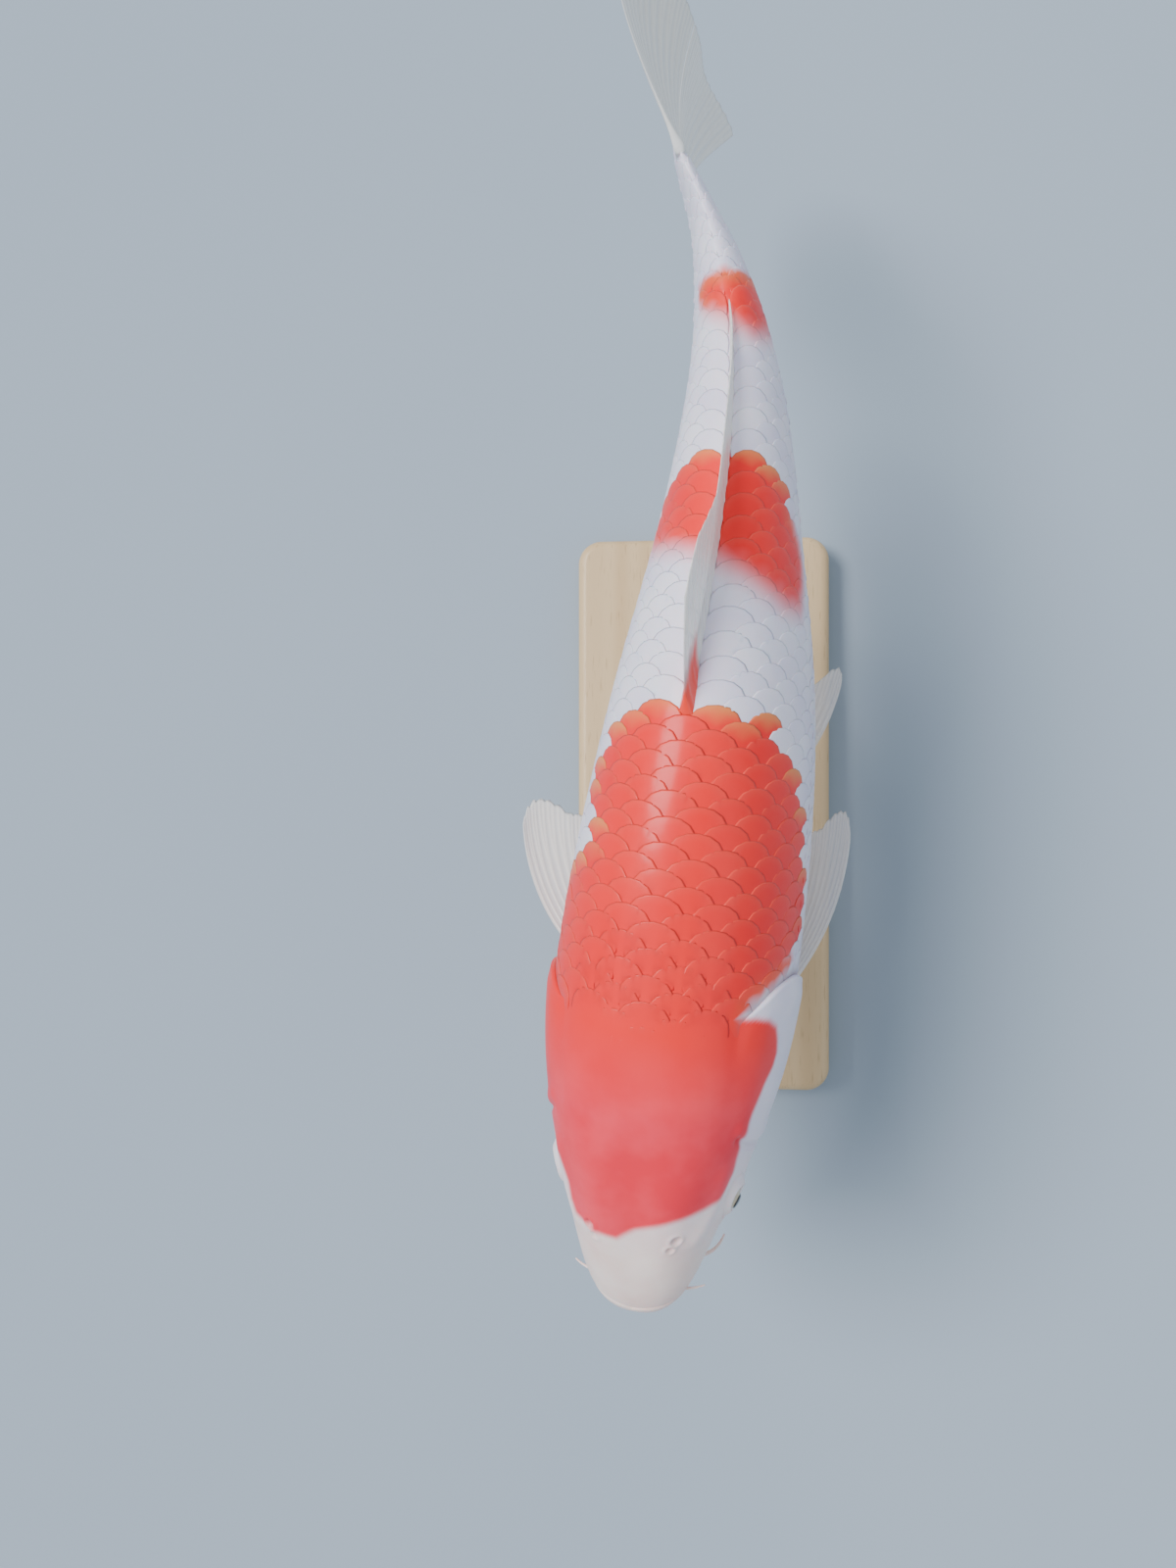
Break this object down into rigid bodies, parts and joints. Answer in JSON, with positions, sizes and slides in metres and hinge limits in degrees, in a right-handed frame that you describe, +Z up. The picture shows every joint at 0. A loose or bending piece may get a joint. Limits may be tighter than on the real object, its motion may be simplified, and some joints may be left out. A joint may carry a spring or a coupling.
{
  "type": "koi carp",
  "caption": "Life-size still model of a white koi carp with red patches, body turning at the tail, held level over a flat wooden base by two short steel rods.",
  "frame": {"origin": "centre of the underside of the stand's base, on the floor", "axes": "+Z up, +Y from the fish's head towards its tail, +X towards the fish's left side"},
  "size_m": [0.165, 0.65, 0.2844],
  "materials": {
    "skin_white": "wet-looking pearly white skin with scales",
    "skin_red": "wet-looking coral red skin with scales",
    "fin": "thin pale milky fin with rays",
    "eye": "polished dark eye with a pale ring",
    "base_wood": "pale maple, satin varnish",
    "rod_steel": "brushed"
  },
  "bodies": {
    "root": {"head": "skin_red", "lower_jaw": "skin_white", "lip_upper": "skin_white", "lip_lower": "skin_white", "gill_cover_left": "skin_white", "gill_cover_right": "skin_red", "eye_left": "eye", "eye_right": "eye", "trunk_front": "skin_red", "trunk_middle": "skin_white", "trunk_rear": "skin_red", "tail_stalk": "skin_white", "dorsal_fin": "fin", "anal_fin": "fin", "caudal_fin_upper": "fin", "caudal_fin_lower": "fin", "pectoral_fin_left": "fin", "pectoral_fin_right": "fin", "pelvic_fin_left": "fin", "pelvic_fin_right": "fin", "barbel_corner_left": "skin_white", "barbel_corner_right": "skin_white", "barbel_front_left": "skin_white", "barbel_front_right": "skin_white", "stand_base": "base_wood", "stand_collar_front": "rod_steel", "stand_collar_rear": "rod_steel", "stand_rod_front": "rod_steel", "stand_rod_rear": "rod_steel"}
  },
  "joints": []
}
